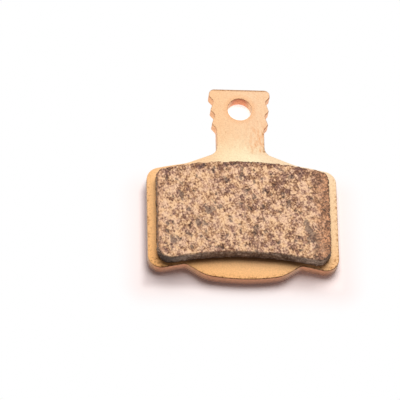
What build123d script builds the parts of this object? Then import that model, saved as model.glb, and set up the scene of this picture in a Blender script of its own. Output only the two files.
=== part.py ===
from build123d import *
from math import radians, sqrt, tan
import os

# Bicycle disc brake pad for a two-piston caliper: a blanked, copper-plated steel backing plate
# and a sintered metal friction lining that is bonded to its front face.
#
# Millimetres. The origin is on the axis of the retaining pin hole, in the plane of the plate's
# back face. +Z runs from the pistons towards the rotor and +Y up the tab, away from the lining.
# The plate and the lining are symmetrical about the plane X = 0.

# Body of the backing plate
plate_thickness = 2.0
plate_width = 31.0
plate_corner_radius = 2.2
hole_to_body = 9.5  # from the pin hole's axis down to the crown of the body's upper edge

# Stem and tab above the body, with rounded teeth down both flanks of the tab
pin_hole_diameter = 4.0
hole_to_tab_top = 3.7
tab_corner_radius = 0.9
stem_width = 7.84
tooth_count = 3
tooth_pitch = 2.57
tab_side = 0.45  # from the tab's corner arc down to the first tooth's tip
tooth_height = 0.74  # the last tooth over the stem
tooth_step = 0.18  # how much further each tooth reaches than the one below it
tooth_depth = 0.55  # from a tooth's tip in to the root above it
tooth_undercut_angle = 50.0
tooth_tip_radius = 0.38
tooth_root_radius = 0.35
stem_blend_radius = 0.9

# Gusset where the stem spreads into the body
gusset_width = 18.0
gusset_angle = 22.5
gusset_blend_radius = 6.0
neck_radius = 1.65

# Belly, the rounded tongue that reaches below the lining
ear_width = 6.15  # from the plate's side in to the belly's root
belly_flank_run = 3.0  # from the root in to the corner of the belly's lower edge
belly_depth = 3.4
belly_crown_radius = 33.0
belly_root_radius = 1.2
belly_corner_radius = 5.5

# Edges of the blank: rolled over on the front, deburred on the back
front_edge_radius = 0.2
back_edge_chamfer = 0.1
hole_edge_radius = 0.15

# Friction lining, a curved band that follows the rotor's braking track
lining_thickness = 2.0
lining_height = 16.65
lining_outer_radius = 56.0
lining_inner_radius = 54.0
lining_upper_corner_radius = 1.7
lining_lower_corner_radius = 2.2
lining_edge_radius = 0.3
top_rim = 1.1  # bare plate left above the lining
side_rim = 1.4  # beside it
lower_rim = 0.4  # and below it


def arc_drop(radius, half_chord):
    """How far an arc falls below its crown, this far out from the middle."""
    return radius - sqrt(radius**2 - half_chord**2)


# Half widths, and levels along Y, that follow from the sizes above
plate_half = plate_width / 2
stem_half = stem_width / 2
gusset_half = gusset_width / 2
belly_half = plate_half - ear_width
belly_crown_half = belly_half - belly_flank_run
lining_half = plate_half - side_rim

lining_top = -(hole_to_body + top_rim)
lining_bottom = lining_top - lining_height
ear_crown = lining_bottom - lower_rim
belly_bottom = ear_crown - belly_depth

# The plate's long edges run concentric with the lining's
body_arc_radius = lining_outer_radius + top_rim
ear_arc_radius = lining_inner_radius - lower_rim


def tooth_outline():
    """Tips and roots of the teeth down the right flank, the last root being on the stem."""
    tips = []
    roots = []
    undercut_slope = tan(radians(tooth_undercut_angle))
    for number in range(tooth_count):
        teeth_below = tooth_count - 1 - number
        reach = stem_half + tooth_height + teeth_below * tooth_step
        level = hole_to_tab_top - tab_corner_radius - tab_side - number * tooth_pitch
        root = reach - tooth_step - tooth_depth if teeth_below else stem_half
        tips.append((reach, level))
        roots.append((root, level - (reach - root) * undercut_slope))
    return tips, roots


# Corners of the right half of the blank, from the tab down to the belly
tooth_tips, tooth_roots = tooth_outline()
flank = [point for tooth in zip(tooth_tips, tooth_roots) for point in tooth]
tab_corner = (tooth_tips[0][0], hole_to_tab_top)
gusset_end = (gusset_half, -hole_to_body - arc_drop(body_arc_radius, gusset_half))
neck = (stem_half, gusset_end[1] + (gusset_half - stem_half) * tan(radians(gusset_angle)))
upper_corner = (plate_half, -hole_to_body - arc_drop(body_arc_radius, plate_half))
lower_corner = (plate_half, ear_crown - arc_drop(ear_arc_radius, plate_half))
belly_root = (belly_half, ear_crown - arc_drop(ear_arc_radius, belly_half))
belly_corner = (belly_crown_half, belly_bottom + arc_drop(belly_crown_radius, belly_crown_half))

blank_corners = [
    (tab_corner, tab_corner_radius),
    *[(tip, tooth_tip_radius) for tip in tooth_tips],
    *[(root, tooth_root_radius) for root in tooth_roots[:-1]],
    (tooth_roots[-1], stem_blend_radius),
    (neck, neck_radius),
    (gusset_end, gusset_blend_radius),
    (upper_corner, plate_corner_radius),
    (lower_corner, plate_corner_radius),
    (belly_root, belly_root_radius),
    (belly_corner, belly_corner_radius),
]

# Backing plate: blanked from steel strip in one stroke, with its pin hole
with BuildPart() as backing_plate:
    with BuildSketch() as blank:
        with BuildLine():
            Polyline((0, belly_bottom), (0, hole_to_tab_top), tab_corner, *flank, neck, gusset_end)
            RadiusArc(gusset_end, upper_corner, body_arc_radius)
            Line(upper_corner, lower_corner)
            RadiusArc(lower_corner, belly_root, -ear_arc_radius)
            Line(belly_root, belly_corner)
            RadiusArc(belly_corner, (0, belly_bottom), belly_crown_radius)
        make_face()
        for corner, radius in blank_corners:
            fillet(blank.vertices().sort_by_distance(corner)[0], radius)
        mirror(about=Plane.YZ)
    extrude(amount=plate_thickness)
    with Locations((0, 0, plate_thickness)):
        Hole(pin_hole_diameter / 2)
    front = backing_plate.faces().sort_by(Axis.Z)[-1]
    fillet(front.outer_wire().edges(), front_edge_radius)
    front = backing_plate.faces().sort_by(Axis.Z)[-1]
    fillet(front.inner_wires()[0].edges(), hole_edge_radius)
    back = backing_plate.faces().sort_by(Axis.Z)[0]
    chamfer(back.outer_wire().edges(), back_edge_chamfer)
backing_plate.part.label = "backing_plate"

# Friction lining: pressed from metal powder, sintered onto the plate and ground flat
lining_upper_corner = (lining_half, lining_top - arc_drop(lining_outer_radius, lining_half))
lining_lower_corner = (lining_half, lining_bottom - arc_drop(lining_inner_radius, lining_half))
lining_corners = [
    (lining_upper_corner, lining_upper_corner_radius),
    (lining_lower_corner, lining_lower_corner_radius),
]

with BuildPart() as friction_lining:
    with BuildSketch(Plane.XY.offset(plate_thickness)) as band:
        with BuildLine():
            Line((0, lining_bottom), (0, lining_top))
            RadiusArc((0, lining_top), lining_upper_corner, lining_outer_radius)
            Line(lining_upper_corner, lining_lower_corner)
            RadiusArc(lining_lower_corner, (0, lining_bottom), -lining_inner_radius)
        make_face()
        for corner, radius in lining_corners:
            fillet(band.vertices().sort_by_distance(corner)[0], radius)
        mirror(about=Plane.YZ)
    extrude(amount=lining_thickness)
    rubbing_face = friction_lining.faces().sort_by(Axis.Z)[-1]
    fillet(rubbing_face.outer_wire().edges(), lining_edge_radius)
friction_lining.part.label = "friction_lining"

os.makedirs("parts", exist_ok=True)
for piece in (backing_plate, friction_lining):
    export_step(piece.part, f"parts/{piece.part.label}.step")
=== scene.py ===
from math import hypot, radians

import bmesh
import bpy
from mathutils import Matrix, Vector, noise


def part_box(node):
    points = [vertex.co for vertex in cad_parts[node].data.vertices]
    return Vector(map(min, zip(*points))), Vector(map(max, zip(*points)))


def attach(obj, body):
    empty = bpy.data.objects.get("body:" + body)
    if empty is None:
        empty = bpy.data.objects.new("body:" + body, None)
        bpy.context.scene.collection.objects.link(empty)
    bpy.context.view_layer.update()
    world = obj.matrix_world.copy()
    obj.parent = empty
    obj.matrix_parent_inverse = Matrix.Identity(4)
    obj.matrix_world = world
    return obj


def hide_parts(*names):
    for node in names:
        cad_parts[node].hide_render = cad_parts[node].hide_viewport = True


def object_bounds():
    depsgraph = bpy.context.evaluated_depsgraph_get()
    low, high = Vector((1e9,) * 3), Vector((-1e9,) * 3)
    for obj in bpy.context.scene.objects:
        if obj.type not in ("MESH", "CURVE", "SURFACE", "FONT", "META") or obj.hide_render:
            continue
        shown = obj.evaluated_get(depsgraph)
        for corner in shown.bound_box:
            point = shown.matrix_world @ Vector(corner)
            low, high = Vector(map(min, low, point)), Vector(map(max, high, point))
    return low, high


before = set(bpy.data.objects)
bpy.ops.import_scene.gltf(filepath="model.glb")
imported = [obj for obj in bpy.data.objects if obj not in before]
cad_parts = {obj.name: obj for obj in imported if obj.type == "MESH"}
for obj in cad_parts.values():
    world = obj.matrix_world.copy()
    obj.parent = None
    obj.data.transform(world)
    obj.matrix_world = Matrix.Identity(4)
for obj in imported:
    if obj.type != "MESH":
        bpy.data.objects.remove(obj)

cad_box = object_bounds()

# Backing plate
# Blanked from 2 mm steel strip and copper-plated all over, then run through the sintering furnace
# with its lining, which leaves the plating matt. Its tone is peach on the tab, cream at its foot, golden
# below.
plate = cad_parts["backing_plate"]
metre = 1000.0  # millimetres in one, for sizes and patterns in millimetres
plate_low, plate_high = [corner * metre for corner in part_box("backing_plate")]
plate_face = plate_high.z
front_edge = 0.2  # radius of the blank's rolled edge
hole_radius = 2.0
tab_foot = -3.9  # level of the root under the tab's last tooth
neck_level = -8.5  # where the stem starts to spread into the body
stem_half = 3.92
stem_foot = (-0.3, -10.4, plate_face)
belly_radius = 33.0
lining_foot = -27.25  # level of the crown of the lining's lower edge
lining_foot_radius = 54.0

# Sizes of the plating's patterns
grain_width, grain_height = 0.28, 0.04
fleck_width = 0.5
speck_width = 0.8
blotch_width = 2.2
scuff_width, scuff_length, scuff_lean = 0.5, 1.5, radians(8)


def linear(hex_colour):
    """The linear RGBA of an sRGB hex colour."""
    channels = [int(hex_colour[i:i + 2], 16) / 255 for i in (1, 3, 5)]
    return [c / 12.92 if c <= 0.04045 else ((c + 0.055) / 1.055) ** 2.4 for c in channels] + [1.0]


def add(tree, kind, inputs, stops=(), **settings):
    """Adds a node with its settings and colour stops, and sets or links inputs by name or number."""
    node = tree.nodes.new(kind)
    for name, value in settings.items():
        setattr(node, name, value)
    for number, (position, colour) in enumerate(stops):
        ramp = node.color_ramp.elements
        stop = ramp[number] if number < 2 else ramp.new(position)
        stop.position = position
        stop.color = linear(colour)
    sockets = [socket for socket in node.inputs if socket.enabled]
    for key, value in inputs.items():
        socket = sockets[key] if isinstance(key, int) else next(s for s in sockets if s.name == key)
        if isinstance(value, bpy.types.Node):
            value = next(output for output in value.outputs if output.enabled)
        if isinstance(value, bpy.types.NodeSocket):
            tree.links.new(value, socket)
        else:
            socket.default_value = value
    return node


def new_material(name):
    """An empty material, its node tree and its Object coordinates in millimetres."""
    material = bpy.data.materials.new(name)
    material.use_nodes = True
    tree = material.node_tree
    tree.nodes.clear()
    coordinates = add(tree, "ShaderNodeTexCoord", {}).outputs["Object"]
    place = add(tree, "ShaderNodeVectorMath", {"Vector": coordinates, "Scale": metre}, operation="SCALE")
    return material, tree, place


# Copper plating: a matt metal with a sandy grain. The rolled edge of the blank is brown and flecked,
# and the sheared wall below it is a redder, burnished copper, painted brightest on the tab for the light it
# catches there.
plating, tree, place = new_material("copper_plated_steel")
x, y, z = add(tree, "ShaderNodeSeparateXYZ", {"Vector": place}).outputs
normal = add(tree, "ShaderNodeNewGeometry", {}).outputs["Normal"]
facing = add(tree, "ShaderNodeSeparateXYZ", {"Vector": normal}).outputs
from_middle = add(tree, "ShaderNodeMath", {0: x}, operation="ABSOLUTE")
flat_place = add(tree, "ShaderNodeCombineXYZ", {"X": x, "Y": y})
from_hole = add(tree, "ShaderNodeVectorMath", {"Vector": flat_place}, operation="LENGTH")
up_tab = add(tree, "ShaderNodeMapRange", {
    "Value": y, "From Min": neck_level - 0.5, "From Max": neck_level + 3.5})
above_neck = add(tree, "ShaderNodeMapRange", {
    "Value": y, "From Min": neck_level, "From Max": neck_level + 0.8})
grain = add(tree, "ShaderNodeTexNoise", {
    "Vector": place, "Scale": 1 / grain_width, "Detail": 3.0, "Roughness": 0.7})
fleck = add(tree, "ShaderNodeTexNoise", {
    "Vector": place, "Scale": 1 / fleck_width, "Detail": 3.0, "Roughness": 0.7})

# The face: one tone up the plate, cream round the stem's foot and more golden at the hole, with painted
# shade that makes it darker and more golden to the left, for the lamp's light falling from the right
along = add(tree, "ShaderNodeMapRange", {"Value": y, "From Min": plate_low.y, "From Max": plate_high.y})
tone = add(tree, "ShaderNodeValToRGB", {"Fac": along}, stops=(
    (0.0, "#fbc68a"), (0.2, "#fad6a9"), (0.5, "#f9dab2"), (0.6, "#f5ddbc"), (0.68, "#f5dab6"),
    (0.82, "#f3d0ab")))
from_foot = add(tree, "ShaderNodeVectorMath", {0: place, 1: stem_foot}, operation="DISTANCE")
blotch = add(tree, "ShaderNodeTexNoise", {
    "Vector": place, "Scale": 1 / blotch_width, "Detail": 3.0, "Roughness": 0.6})
uneven = add(tree, "ShaderNodeMath", {0: blotch, 1: 3.0, 2: from_foot}, operation="MULTIPLY_ADD")
cream = add(tree, "ShaderNodeMapRange", {"Value": uneven, "From Min": 6.6, "From Max": 3.6})
creamed = add(tree, "ShaderNodeMix", {
    "Factor": cream, "A": tone, "B": linear("#f8ebc8")}, data_type="RGBA")
# Painted shade: darker, more golden plating towards the left, where less of the lamp's light falls
painted_left_shade = add(tree, "ShaderNodeMapRange", {
    "Value": x, "From Min": 2.0, "From Max": plate_low.x, "To Max": 0.62})
sided = add(tree, "ShaderNodeMix", {
    "Factor": painted_left_shade, "A": creamed, "B": linear("#f6b970")}, data_type="RGBA")
round_hole = add(tree, "ShaderNodeMapRange", {
    "Value": from_hole, "From Min": hole_radius, "From Max": hole_radius + 0.9,
    "To Min": 0.5, "To Max": 0.0})
holed = add(tree, "ShaderNodeMix", {
    "Factor": round_hole, "A": sided, "B": linear("#eeb480")}, data_type="RGBA")

# Sandy grain and a few brown specks all over it, and scuffs down the stem, deepest on its right
grain_tone = add(tree, "ShaderNodeMapRange", {
    "Value": grain, "From Min": 0.3, "From Max": 0.7, "To Min": 0.86, "To Max": 1.06})
sanded = add(tree, "ShaderNodeMix", {
    "Factor": 1.0, "A": holed, "B": grain_tone}, data_type="RGBA", blend_type="MULTIPLY")
speck = add(tree, "ShaderNodeTexNoise", {
    "Vector": place, "Scale": 1 / speck_width, "Detail": 4.0, "Roughness": 0.75})
speck_cut = add(tree, "ShaderNodeMapRange", {
    "Value": speck, "From Min": 0.64, "From Max": 0.72, "To Max": 0.5})
specked = add(tree, "ShaderNodeMix", {
    "Factor": speck_cut, "A": sanded, "B": linear("#b98350")}, data_type="RGBA")
scuff_place = add(tree, "ShaderNodeMapping", {
    "Vector": place, "Rotation": (0, 0, scuff_lean), "Scale": (scuff_width, scuff_length, 1)},
    vector_type="TEXTURE")
scuff = add(tree, "ShaderNodeTexNoise", {
    "Vector": scuff_place, "Scale": 1.0, "Detail": 3.0, "Roughness": 0.6})
scuff_depth = add(tree, "ShaderNodeMapRange", {
    "Value": x, "From Min": 0.6, "From Max": 2.4, "To Min": 0.15, "To Max": 0.8})
below_hole = add(tree, "ShaderNodeMapRange", {
    "Value": y, "From Min": -hole_radius, "From Max": -hole_radius - 3.0, "To Min": 0.2, "To Max": 1.0})
on_stem = add(tree, "ShaderNodeMath", {0: above_neck, 1: below_hole}, operation="MULTIPLY")
scuff_strength = add(tree, "ShaderNodeMath", {0: on_stem, 1: scuff_depth}, operation="MULTIPLY")
scuff_cut = add(tree, "ShaderNodeMapRange", {
    "Value": scuff, "From Min": 0.42, "From Max": 0.66, "To Max": scuff_strength})
scuffed = add(tree, "ShaderNodeMix", {
    "Factor": scuff_cut, "A": specked, "B": linear("#e3a470")}, data_type="RGBA")

# Worn brown flecks along the tab's top, the plate's sides, the belly's crown and the stem's right side
top_fleck = add(tree, "ShaderNodeMapRange", {
    "Value": fleck, "From Min": 0.35, "From Max": 0.65, "To Min": 0.35, "To Max": 1.0})
top_line = add(tree, "ShaderNodeMapRange", {
    "Value": y, "From Min": plate_high.y - 0.42, "From Max": plate_high.y - 0.2, "To Max": top_fleck})
topped = add(tree, "ShaderNodeMix", {
    "Factor": top_line, "A": scuffed, "B": linear("#a06c40")}, data_type="RGBA")
near_side = add(tree, "ShaderNodeMapRange", {
    "Value": from_middle, "From Min": plate_high.x - 0.8, "From Max": plate_high.x - 0.1})
from_belly_centre = add(tree, "ShaderNodeVectorMath", {
    0: place, 1: (0, plate_low.y + belly_radius, plate_face)}, operation="DISTANCE")
near_crown = add(tree, "ShaderNodeMapRange", {
    "Value": from_belly_centre, "From Min": belly_radius - 0.8, "From Max": belly_radius - 0.1})
below_tab = add(tree, "ShaderNodeMapRange", {"Value": y, "From Min": tab_foot, "From Max": tab_foot - 0.5})
along_stem = add(tree, "ShaderNodeMath", {0: below_tab, 1: above_neck}, operation="MULTIPLY")
near_stem = add(tree, "ShaderNodeMapRange", {
    "Value": x, "From Min": stem_half - 0.5, "From Max": stem_half - 0.15, "To Max": along_stem})
near_body_edge = add(tree, "ShaderNodeMath", {0: near_side, 1: near_crown}, operation="MAXIMUM")
near_edge = add(tree, "ShaderNodeMath", {0: near_body_edge, 1: near_stem}, operation="MAXIMUM")
edge_fleck = add(tree, "ShaderNodeMapRange", {
    "Value": fleck, "From Min": 0.5, "From Max": 0.66, "To Max": near_edge})
flecked = add(tree, "ShaderNodeMix", {
    "Factor": edge_fleck, "A": topped, "B": linear("#b07a48")}, data_type="RGBA")

# Painted shadow: the belly is darkened along the foot of the lining, where the lining's shadow falls
from_lining_centre = add(tree, "ShaderNodeVectorMath", {
    0: place, 1: (0, lining_foot - lining_foot_radius, plate_face)}, operation="DISTANCE")
past_lining = add(tree, "ShaderNodeMath", {
    0: from_lining_centre, 1: lining_foot_radius}, operation="SUBTRACT")
from_lining = add(tree, "ShaderNodeMath", {0: past_lining}, operation="ABSOLUTE")
on_belly = add(tree, "ShaderNodeMapRange", {
    "Value": from_middle, "From Min": 11.0, "From Max": 8.0, "To Max": 0.72})
painted_lining_shadow = add(tree, "ShaderNodeMapRange", {
    "Value": from_lining, "From Min": 1.1, "From Max": 0.0, "To Max": on_belly})
lining_shadowed = add(tree, "ShaderNodeMix", {
    "Factor": painted_lining_shadow, "A": flecked, "B": linear("#6a4426")}, data_type="RGBA")

# The sheared walls: brown round the body with painted shade at their foot, orange on the tab and in the hole
# Painted light: walls that face sideways get a paler, yellower tone than those that face forward, set for
# how each is lit
turned_aside = add(tree, "ShaderNodeMath", {0: facing["X"]}, operation="ABSOLUTE")
sideways_painted_light = add(tree, "ShaderNodeMapRange", {
    "Value": turned_aside, "From Min": 0.25, "From Max": 0.9, "To Max": 0.75})
body_wall = add(tree, "ShaderNodeMix", {
    "Factor": sideways_painted_light, "A": linear("#ba7a54"), "B": linear("#c29462")}, data_type="RGBA")
# Painted shade: the walls darken towards their foot, standing in for the shade where they meet the paper
painted_foot_shade = add(tree, "ShaderNodeMapRange", {"Value": z, "From Min": 1.4, "From Max": 0.0})
foot_shaded = add(tree, "ShaderNodeMix", {
    "Factor": painted_foot_shade, "A": body_wall, "B": linear("#6e4430")}, data_type="RGBA")
in_hole = add(tree, "ShaderNodeMapRange", {
    "Value": from_hole, "From Min": hole_radius + 0.3, "From Max": hole_radius + 0.2})
# Painted light: the hole's wall is lighter towards the paper and at its sides, for the light it catches
# there
hole_depth = add(tree, "ShaderNodeMapRange", {"Value": z, "From Min": 1.7, "From Max": 0.4})
hole_painted_depth_light = add(tree, "ShaderNodeMix", {
    "Factor": hole_depth, "A": linear("#d37c54"), "B": linear("#f79f71")}, data_type="RGBA")
hole_painted_side_light = add(tree, "ShaderNodeMapRange", {"Value": from_middle, "From Min": 1.0, "From Max": 1.9})
hole_wall_painted_light = add(tree, "ShaderNodeMix", {
    "Factor": hole_painted_side_light, "A": hole_painted_depth_light, "B": linear("#ffc791")}, data_type="RGBA")
# Painted light: the tab's walls get a brighter orange than the body's, for the light that falls on them
tab_wall_painted_light = add(tree, "ShaderNodeMix", {
    "Factor": in_hole, "A": linear("#ffbc86"), "B": hole_wall_painted_light}, data_type="RGBA")
wall_tone = add(tree, "ShaderNodeMix", {
    "Factor": up_tab, "A": foot_shaded, "B": tab_wall_painted_light}, data_type="RGBA")
shear_tone = add(tree, "ShaderNodeMapRange", {
    "Value": fleck, "From Min": 0.36, "From Max": 0.64, "To Min": 0.76, "To Max": 1.12})
sheared = add(tree, "ShaderNodeMix", {
    "Factor": 1.0, "A": wall_tone, "B": shear_tone}, data_type="RGBA", blend_type="MULTIPLY")
wall = add(tree, "ShaderNodeMapRange", {
    "Value": z, "From Min": plate_face - 0.4 * front_edge, "From Max": plate_face - front_edge})
walled = add(tree, "ShaderNodeMix", {
    "Factor": wall, "A": lining_shadowed, "B": sheared}, data_type="RGBA")
burnish = add(tree, "ShaderNodeMapRange", {"Value": wall, "To Min": 0.6, "To Max": 0.4})

# The rim on the rolled edge: brown flecks on the body's lower right edges and round the tab, few in the hole
lower_right = (0.5, -0.85, 0)
downward = add(tree, "ShaderNodeVectorMath", {0: normal, 1: lower_right}, operation="DOT_PRODUCT")
facing_down = add(tree, "ShaderNodeMapRange", {"Value": downward, "From Min": 0.1, "From Max": 0.6})
tab_rim = add(tree, "ShaderNodeMapRange", {
    "Value": facing["X"], "From Min": -0.8, "From Max": 0.0, "To Min": 0.35, "To Max": 0.9})
tab_edge = add(tree, "ShaderNodeMapRange", {
    "Value": y, "From Min": neck_level - 1.0, "From Max": neck_level + 0.5, "To Max": tab_rim})
rim_strength = add(tree, "ShaderNodeMath", {0: facing_down, 1: tab_edge}, operation="MAXIMUM")
hole_rim = add(tree, "ShaderNodeMapRange", {
    "Value": x, "From Min": -0.3, "From Max": 1.0, "To Min": 0.7, "To Max": 0.1})
clean_hole = add(tree, "ShaderNodeMapRange", {"Value": in_hole, "To Min": 1.0, "To Max": hole_rim})
fleck_depth = add(tree, "ShaderNodeMath", {0: rim_strength, 1: clean_hole}, operation="MULTIPLY")
fleck_cut = add(tree, "ShaderNodeMapRange", {
    "Value": fleck, "From Min": 0.28, "From Max": 0.54, "To Max": fleck_depth})
rim_low = add(tree, "ShaderNodeMapRange", {
    "Value": z, "From Min": plate_face - 1.4 * front_edge, "From Max": plate_face - 0.8 * front_edge})
rim_high = add(tree, "ShaderNodeMapRange", {
    "Value": z, "From Min": plate_face - 0.05 * front_edge, "From Max": plate_face - 0.4 * front_edge})
rim = add(tree, "ShaderNodeMath", {0: rim_low, 1: rim_high}, operation="MULTIPLY")
rim_fleck = add(tree, "ShaderNodeMath", {0: rim, 1: fleck_cut}, operation="MULTIPLY")
rim_tone = add(tree, "ShaderNodeMix", {
    "Factor": up_tab, "A": linear("#6c3e26"), "B": linear("#9a4c1e")}, data_type="RGBA")
rimmed = add(tree, "ShaderNodeMix", {
    "Factor": rim_fleck, "A": walled, "B": rim_tone}, data_type="RGBA")

# The rolled edge is finer than the picture's pixels, so its normal leans to the face's to keep it calm
rolled = add(tree, "ShaderNodeMapRange", {
    "Value": z, "From Min": plate_face - 0.9 * front_edge, "From Max": plate_face - 0.6 * front_edge,
    "To Max": 0.85})
softened = add(tree, "ShaderNodeMix", {"Factor": rolled, "A": normal, "B": (0, 0, 1)}, data_type="VECTOR")
bump = add(tree, "ShaderNodeBump", {
    "Height": grain, "Strength": 0.4, "Distance": grain_height / metre, "Normal": softened})
shader = add(tree, "ShaderNodeBsdfPrincipled", {
    "Base Color": rimmed, "Metallic": 1.0, "Roughness": burnish, "Normal": bump})
add(tree, "ShaderNodeOutputMaterial", {"Surface": shader})
plate.data.materials.clear()
plate.data.materials.append(plating)

# Friction lining
# Copper and graphite powder, pressed on the plate and sintered to it, then ground flat. Grinding
# leaves smeared copper plateaus with dark pits between them, while the pressed walls stay rough.
lining_low, lining_high = [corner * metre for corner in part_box("friction_lining")]
lining_top_radius = 56.0
grid = 0.09  # spacing of the mesh that takes the pits
foot_overlap = 0.4  # of lining below the plate's face, until it is cut off there
pit_depth = 0.07
dull_depth = 0.06  # of the dull patches, and of what grinding has missed
wall_relief = 0.16
grinding_lean = radians(20)  # of the grinding marks, from the tab's left to the right

# Sizes of the lining's patterns
grit_width, grit_stretch = 0.26, 1.35
streak_width, streak_length = 0.22, 2.2
particle_width = 0.42
particle_bend, bend_width = 0.12, 0.3
cluster_width = 0.8
hue_width = 0.9
clump_width = 1.0
smear_width = 1.7
cloud_width = 4.0
wide_rag_width, fine_rag_width = 1.1, 0.4
wide_rough_width, fine_rough_width = 0.9, 0.35

# The solid's copy is remeshed to an even grid, and its foot is cut off level with the plate's face
lump = bmesh.new()
lump.from_mesh(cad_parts["friction_lining"].data)
bmesh.ops.scale(lump, vec=(metre, metre, metre), verts=lump.verts)
bmesh.ops.remove_doubles(lump, verts=lump.verts, dist=0.001)
foot = [v for v in lump.verts if v.co.z < plate_face + 0.001]
bmesh.ops.translate(lump, vec=(0, 0, -foot_overlap), verts=foot)
pressed = bpy.data.meshes.new("pressed_lining")
lump.to_mesh(pressed)
blank = bpy.data.objects.new("pressed_lining", pressed)
bpy.context.scene.collection.objects.link(blank)
remesh = blank.modifiers.new("even_grid", "REMESH")
remesh.mode = "VOXEL"
remesh.voxel_size = grid
sintered = bpy.data.meshes.new_from_object(blank.evaluated_get(bpy.context.evaluated_depsgraph_get()))
bpy.data.objects.remove(blank)
lump.clear()
lump.from_mesh(sintered)
bmesh.ops.bisect_plane(
    lump, geom=[*lump.verts, *lump.edges, *lump.faces], plane_co=(0, 0, plate_face), plane_no=(0, 0, 1),
    clear_inner=True)
bmesh.ops.holes_fill(lump, edges=[e for e in lump.edges if e.is_boundary])


def ease(value, low, high):
    """0 at low, 1 at high, and a smooth step between them."""
    share = min(max((value - low) / (high - low), 0.0), 1.0)
    return share * share * (3 - 2 * share)


# How much copper, graphite and grinding each point has. The grain is drawn out along the grinding
# marks, and each noise has a size or a place of its own, so that no two patterns line up.
along_marks = Matrix.Diagonal((1.0, 0.75, 1.0)) @ Matrix.Rotation(-grinding_lean, 3, "Z")
# Larger dull patches, each with its X, Y and radius
dull_patches = (
    (-9.9, -17.3, 0.5), (-5.4, -19.8, 0.8), (-7.3, -22.1, 0.6), (-11.4, -25.2, 0.6), (-6.3, -24.2, 0.4),
    (-0.3, -19.0, 0.4), (1.7, -23.7, 0.6), (7.3, -18.9, 0.45), (10.2, -22.0, 0.6), (10.7, -23.1, 0.8),
    (11.3, -24.3, 0.95), (12.0, -26.4, 0.8))
patch_spots = [(along_marks @ Vector((x, y, lining_high.z)), size) for x, y, size in dull_patches]
copper = lump.verts.layers.float.new("copper")
graphite = lump.verts.layers.float.new("graphite")
ground = lump.verts.layers.float.new("ground")
lump.normal_update()
noise.seed_set(4)  # for noise_vector, which would differ from run to run without it
for v in lump.verts:
    spot = along_marks @ v.co
    grit = noise.noise(spot / grit_width)
    bent = spot + particle_bend * noise.noise_vector(spot / bend_width)
    reach, centres = noise.voronoi(bent / particle_width)
    particle = noise.cell(centres[0] + Vector((100, 100, 100)))
    seam = 1 - ease(reach[1] - reach[0], 0.05, 0.28)
    cluster = noise.noise(spot / cluster_width + Vector((31, 5, 2)))
    smear = noise.noise(spot / smear_width + Vector((4, 9, 27)))
    cloud = noise.noise(v.co / cloud_width + Vector((7, 3, 1)))
    clump = noise.fractal(spot / clump_width + Vector((13, 41, 6)), 0.7, 2.1, 3)
    near_patch = max(size - (spot - centre).length for centre, size in patch_spots)
    from_top = lining_top_radius - hypot(v.co.x, v.co.y - lining_high.y + lining_top_radius)
    drift = -0.006 * v.co.x - 0.3 * (1 - ease(from_top + 0.8 * smear, 0.2, 2.2))
    small_mottle = 0.24 * particle - 0.4 * seam + 0.26 * grit
    large_mottle = 0.32 * cluster + 0.26 * smear + 0.2 * cloud + drift
    v[copper] = ease(small_mottle + large_mottle, -0.92, 0.24)
    v[graphite] = max(ease(clump, 0.34, 0.68), ease(near_patch + 0.7 * cluster + 0.5 * grit, -0.1, 0.4))
    wide_rag = noise.noise(v.co / wide_rag_width + Vector((3, 8, 21)))
    fine_rag = noise.noise(v.co / fine_rag_width + Vector((5, 2, 8)))
    ragged = 0.6 * wide_rag + 0.3 * fine_rag
    right_band = ease(lining_high.x - v.co.x + 1.6 * ragged, 0.4, 3.2)
    left_band = 0.7 + 0.3 * ease(v.co.x - lining_low.x + 0.6 * ragged, 0.4, 1.3)
    v[ground] = ease(v.normal.z + 0.3 * ragged, 0.6, 0.9) * right_band * left_band

# Pits in the rubbing face, and rough walls that lie mostly inside the pressed shape
for v in lump.verts:
    wide_rough = noise.noise(v.co / wide_rough_width + Vector((3, 17, 9)))
    fine_rough = noise.noise(v.co / fine_rough_width)
    push = Vector((v.normal.x, v.normal.y, 0)) * wall_relief * (wide_rough + fine_rough - 0.5)
    if v.normal.z > 0.5:
        v.co.z -= pit_depth * (1 - ease(v[copper], 0.0, 0.7)) + dull_depth * (v[graphite] + 1 - v[ground])
    v.co += push
bmesh.ops.scale(lump, vec=(1 / metre, 1 / metre, 1 / metre), verts=lump.verts)
for face in lump.faces:
    face.smooth = True
lining_mesh = bpy.data.meshes.new("sintered_lining")
lump.to_mesh(lining_mesh)
lump.free()
lining = bpy.data.objects.new("sintered_lining", lining_mesh)
bpy.context.scene.collection.objects.link(lining)

# Sintered friction metal: mottled, with smeared copper shining between dull graphite and brown pits.
friction, tree, place = new_material("sintered_metal")
axes = add(tree, "ShaderNodeSeparateXYZ", {"Vector": place}).outputs
normal = add(tree, "ShaderNodeNewGeometry", {}).outputs["Normal"]
facing = add(tree, "ShaderNodeSeparateXYZ", {"Vector": normal}).outputs
copper_share = add(tree, "ShaderNodeAttribute", {}, attribute_name="copper").outputs["Fac"]
graphite_share = add(tree, "ShaderNodeAttribute", {}, attribute_name="graphite").outputs["Fac"]
ground_share = add(tree, "ShaderNodeAttribute", {}, attribute_name="ground").outputs["Fac"]

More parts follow.
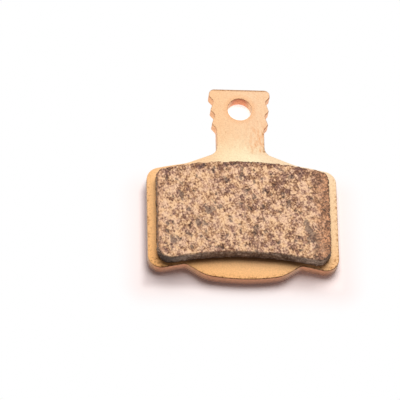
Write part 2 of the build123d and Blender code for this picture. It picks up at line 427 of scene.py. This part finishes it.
# Grit that is finer than the mesh, and streaks along the grinding marks
grit_place = add(tree, "ShaderNodeMapping", {
    "Vector": place, "Rotation": (0, 0, grinding_lean), "Scale": (1, grit_stretch, 1)},
    vector_type="TEXTURE")
grit = add(tree, "ShaderNodeTexNoise", {
    "Vector": grit_place, "Scale": 1 / grit_width, "Detail": 3.0, "Roughness": 0.6})
grit_share = add(tree, "ShaderNodeMapRange", {
    "Value": grit, "From Min": 0.3, "From Max": 0.7, "To Min": -0.36, "To Max": 0.36}, clamp=False)
streak_place = add(tree, "ShaderNodeMapping", {
    "Vector": place, "Rotation": (0, 0, grinding_lean), "Scale": (streak_width, streak_length, 1)},
    vector_type="TEXTURE")
streak = add(tree, "ShaderNodeTexNoise", {"Vector": streak_place, "Scale": 1.0, "Detail": 2.0})
streak_share = add(tree, "ShaderNodeMapRange", {
    "Value": streak, "From Min": 0.3, "From Max": 0.7, "To Min": -0.16, "To Max": 0.16}, clamp=False)
gritty = add(tree, "ShaderNodeMath", {0: copper_share, 1: grit_share}, operation="ADD")
copper_grit = add(tree, "ShaderNodeMath", {0: gritty, 1: streak_share}, operation="ADD")

# The ground face: copper in a warm and a mauve tone, with grey graphite patches
warm = add(tree, "ShaderNodeValToRGB", {"Fac": copper_grit}, stops=(
    (0.0, "#845742"), (0.5, "#c89a76"), (1.0, "#f2cda4")))
mauve = add(tree, "ShaderNodeValToRGB", {"Fac": copper_grit}, stops=(
    (0.0, "#845e54"), (0.5, "#c69b84"), (1.0, "#f0cdac")))
hue = add(tree, "ShaderNodeTexNoise", {"Vector": place, "Scale": 1 / hue_width, "Detail": 2.0})
hue_cut = add(tree, "ShaderNodeMapRange", {"Value": hue, "From Min": 0.42, "From Max": 0.62})
mottle = add(tree, "ShaderNodeMix", {"Factor": hue_cut, "A": warm, "B": mauve}, data_type="RGBA")
graphite_tone = add(tree, "ShaderNodeValToRGB", {"Fac": copper_grit}, stops=(
    (0.0, "#5c4a43"), (1.0, "#92796c")))
graphite_part = add(tree, "ShaderNodeMath", {0: graphite_share, 1: 0.8}, operation="MULTIPLY")
patched = add(tree, "ShaderNodeMix", {
    "Factor": graphite_part, "A": mottle, "B": graphite_tone}, data_type="RGBA")

# What grinding has missed is a redder brown. The walls are dull, with painted shade that darkens their ends
unground = add(tree, "ShaderNodeValToRGB", {"Fac": copper_grit}, stops=(
    (0.0, "#8f644a"), (1.0, "#e0a880")))
wall_tone = add(tree, "ShaderNodeValToRGB", {"Fac": copper_grit}, stops=(
    (0.0, "#846b5b"), (1.0, "#b69d8b")))
# Painted shade: walls that face right, and the front wall at the left end, get darker tones than the rest,
# set for how they are lit
rightward = add(tree, "ShaderNodeMapRange", {
    "Value": facing["X"], "From Min": 0.2, "From Max": 0.8, "To Max": 0.7})
right_end_painted_shade = add(tree, "ShaderNodeMix", {
    "Factor": rightward, "A": wall_tone, "B": linear("#6a5444")}, data_type="RGBA")
frontward = add(tree, "ShaderNodeMapRange", {
    "Value": facing["Y"], "From Min": -0.2, "From Max": -0.6, "To Max": 0.9})
painted_left_shade = add(tree, "ShaderNodeMapRange", {
    "Value": axes["X"], "From Min": -8.0, "From Max": -12.0, "To Max": frontward})
ends_painted_shade = add(tree, "ShaderNodeMix", {
    "Factor": painted_left_shade, "A": right_end_painted_shade, "B": linear("#5a4d47")}, data_type="RGBA")
not_front = add(tree, "ShaderNodeMapRange", {"Value": facing["Y"], "From Min": -0.35, "From Max": 0.0})
level = add(tree, "ShaderNodeMapRange", {
    "Value": axes["Z"], "From Min": lining_high.z - 0.35, "From Max": lining_high.z - 0.15,
    "To Max": not_front})
edged = add(tree, "ShaderNodeMix", {"Factor": level, "A": ends_painted_shade, "B": unground}, data_type="RGBA")
faced = add(tree, "ShaderNodeMix", {"Factor": ground_share, "A": edged, "B": patched}, data_type="RGBA")
shine = add(tree, "ShaderNodeMapRange", {"Value": copper_share, "To Min": 0.45, "To Max": 1.0})
shader = add(tree, "ShaderNodeBsdfPrincipled", {"Base Color": faced, "Metallic": shine, "Roughness": 0.6})
add(tree, "ShaderNodeOutputMaterial", {"Surface": shader})
lining.data.materials.append(friction)
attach(lining, "root")
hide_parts("friction_lining")

# Floor
# A plain sheet of white paper under the pad, which keeps its shadow. The camera sees it lit more than
# the pad is, and white away from the pad's body, and the pad's metal mirrors it as white.
floor_half = 2.0
sheet = bmesh.new()
bmesh.ops.create_grid(sheet, x_segments=1, y_segments=1, size=floor_half)
floor_mesh = bpy.data.meshes.new("floor")
sheet.to_mesh(floor_mesh)
sheet.free()
floor = bpy.data.objects.new("floor", floor_mesh)
bpy.context.scene.collection.objects.link(floor)
paper, tree, place = new_material("white_paper")
axes = add(tree, "ShaderNodeSeparateXYZ", {"Vector": place}).outputs
rays = add(tree, "ShaderNodeLightPath", {}).outputs
mirrored = add(tree, "ShaderNodeMath", {
    0: rays["Is Glossy Ray"], 1: rays["Is Transmission Ray"]}, operation="MAXIMUM")

# How far the paper lies from the hole's axis, and beyond a box round the plate's body
from_axis = add(tree, "ShaderNodeVectorMath", {0: place}, operation="LENGTH")
from_hole = add(tree, "ShaderNodeMapRange", {
    "Value": from_axis, "From Min": hole_radius + 0.6, "From Max": hole_radius + 1.4})
body_top = -15.0  # upper end of that box, below the gusset
body_middle = (plate_low.y + body_top) / 2
body_half = (plate_high.x, body_middle - plate_low.y, 1)
offset = add(tree, "ShaderNodeVectorMath", {0: place, 1: (0, body_middle, 0)}, operation="SUBTRACT")
spread = add(tree, "ShaderNodeVectorMath", {0: offset}, operation="ABSOLUTE")
beyond = add(tree, "ShaderNodeVectorMath", {0: spread, 1: body_half}, operation="SUBTRACT")
outside = add(tree, "ShaderNodeVectorMath", {0: beyond, 1: (0, 0, 0)}, operation="MAXIMUM")
body_gap = add(tree, "ShaderNodeVectorMath", {0: outside}, operation="LENGTH")
contact_width, shadow_width = 1.3, 5.2
from_contact = add(tree, "ShaderNodeMapRange", {"Value": body_gap, "From Max": contact_width})
from_body = add(tree, "ShaderNodeMapRange", {
    "Value": body_gap, "From Max": shadow_width}, interpolation_type="SMOOTHSTEP")

# How much lighter than plain paper the camera sees it: most through the hole, least at the body's foot
rightward = add(tree, "ShaderNodeMapRange", {"Value": axes["X"], "From Min": 2.0, "From Max": 14.0})
near_gain = add(tree, "ShaderNodeMix", {
    "Factor": rightward, "A": (1.6, 1.42, 1.4, 1), "B": (2.3, 2.05, 2.0, 1)}, data_type="RGBA")
paper_gain = add(tree, "ShaderNodeMix", {
    "Factor": from_contact, "A": near_gain, "B": (2.1, 1.9, 1.87, 1)}, data_type="RGBA")
hole_gain = add(tree, "ShaderNodeMapRange", {
    "Value": axes["Y"], "From Min": -0.8, "From Max": 1.1, "To Min": 2.2, "To Max": 7.5})
gain = add(tree, "ShaderNodeMix", {"Factor": from_hole, "A": hole_gain, "B": paper_gain}, data_type="RGBA")
plain_paper = (0.85, 0.85, 0.85, 1)
seen = add(tree, "ShaderNodeMix", {
    "Factor": rays["Is Camera Ray"], "A": plain_paper, "B": gain}, data_type="RGBA")
hole_white = add(tree, "ShaderNodeMapRange", {"Value": from_hole, "To Min": 0.65, "To Max": 1.0})
bright = add(tree, "ShaderNodeMath", {0: from_body, 1: hole_white}, operation="MULTIPLY")
seen_white = add(tree, "ShaderNodeMath", {0: bright, 1: rays["Is Camera Ray"]}, operation="MULTIPLY")
white = add(tree, "ShaderNodeMath", {0: seen_white, 1: mirrored}, operation="MAXIMUM")
lit_paper = add(tree, "ShaderNodeBsdfDiffuse", {"Color": seen})
white_paper = add(tree, "ShaderNodeEmission", {})
shader = add(tree, "ShaderNodeMixShader", {"Fac": white, 1: lit_paper, 2: white_paper})
add(tree, "ShaderNodeOutputMaterial", {"Surface": shader})
paper.cycles.emission_sampling = "NONE"
floor.data.materials.append(paper)

# Light
# One large soft lamp, high behind the pad and a little to its right, in a dim room. Only mirrored rays
# see the room's pale walls, which fade into a dim ceiling.
pad_middle = (cad_box[0] + cad_box[1]) / 2
lamp_direction = Vector((0.1, 0.56, 0.9)).normalized()
lamp_distance = 0.40
lamp_data = bpy.data.lights.new("softbox", "AREA")
lamp_data.size = 0.30
lamp_data.energy = 0.9
lamp = bpy.data.objects.new("softbox", lamp_data)
lamp.location = pad_middle + lamp_direction * lamp_distance
lamp.rotation_euler = lamp_direction.to_track_quat("Z", "Y").to_euler()
bpy.context.scene.collection.objects.link(lamp)
world = bpy.data.worlds.new("dim_room")
world.use_nodes = True
bpy.context.scene.world = world
tree = world.node_tree
tree.nodes.clear()
rays = add(tree, "ShaderNodeLightPath", {}).outputs
mirrored = add(tree, "ShaderNodeMath", {
    0: rays["Is Glossy Ray"], 1: rays["Is Transmission Ray"]}, operation="MAXIMUM")
direction = add(tree, "ShaderNodeNewGeometry", {}).outputs["Position"]  # of a ray that leaves the scene
height = add(tree, "ShaderNodeSeparateXYZ", {"Vector": direction}).outputs["Z"]
room_strength = 0.1
pale_walls = add(tree, "ShaderNodeMapRange", {
    "Value": height, "From Min": 0.6, "From Max": 0.2, "To Min": room_strength, "To Max": 0.7})
strength = add(tree, "ShaderNodeMix", {
    "Factor": mirrored, "A": room_strength, "B": pale_walls}, data_type="FLOAT")
room = add(tree, "ShaderNodeMix", {
    "Factor": mirrored, "A": (1, 0.82, 0.78, 1), "B": (1, 0.92, 0.88, 1)}, data_type="RGBA")
background = add(tree, "ShaderNodeBackground", {"Color": room, "Strength": strength})
add(tree, "ShaderNodeOutputWorld", {"Surface": background})

# Camera
# A long lens that looks down on the pad from the belly's side, turned a little to the left of it and
# rolled, with the pad right of the picture's middle.
view_centre = Vector((-6.89, -16.97, 2.0)) / metre
view_distance = 629.9 / metre
azimuth, elevation, roll = radians(-10.87), radians(62.06), radians(11.0)
camera_data = bpy.data.cameras.new("camera")
camera_data.lens = 349.6
camera_data.clip_start = 0.01
camera = bpy.data.objects.new("camera", camera_data)
turned = Matrix.Rotation(azimuth, 4, "Z") @ Matrix.Rotation(radians(90) - elevation, 4, "X")
turned = turned @ Matrix.Rotation(roll, 4, "Z")
back = turned.col[2].to_3d()
camera.matrix_world = Matrix.Translation(view_centre + back * view_distance) @ turned
bpy.context.scene.collection.objects.link(camera)
bpy.context.scene.camera = camera
bpy.context.scene.view_settings.view_transform = "Standard"
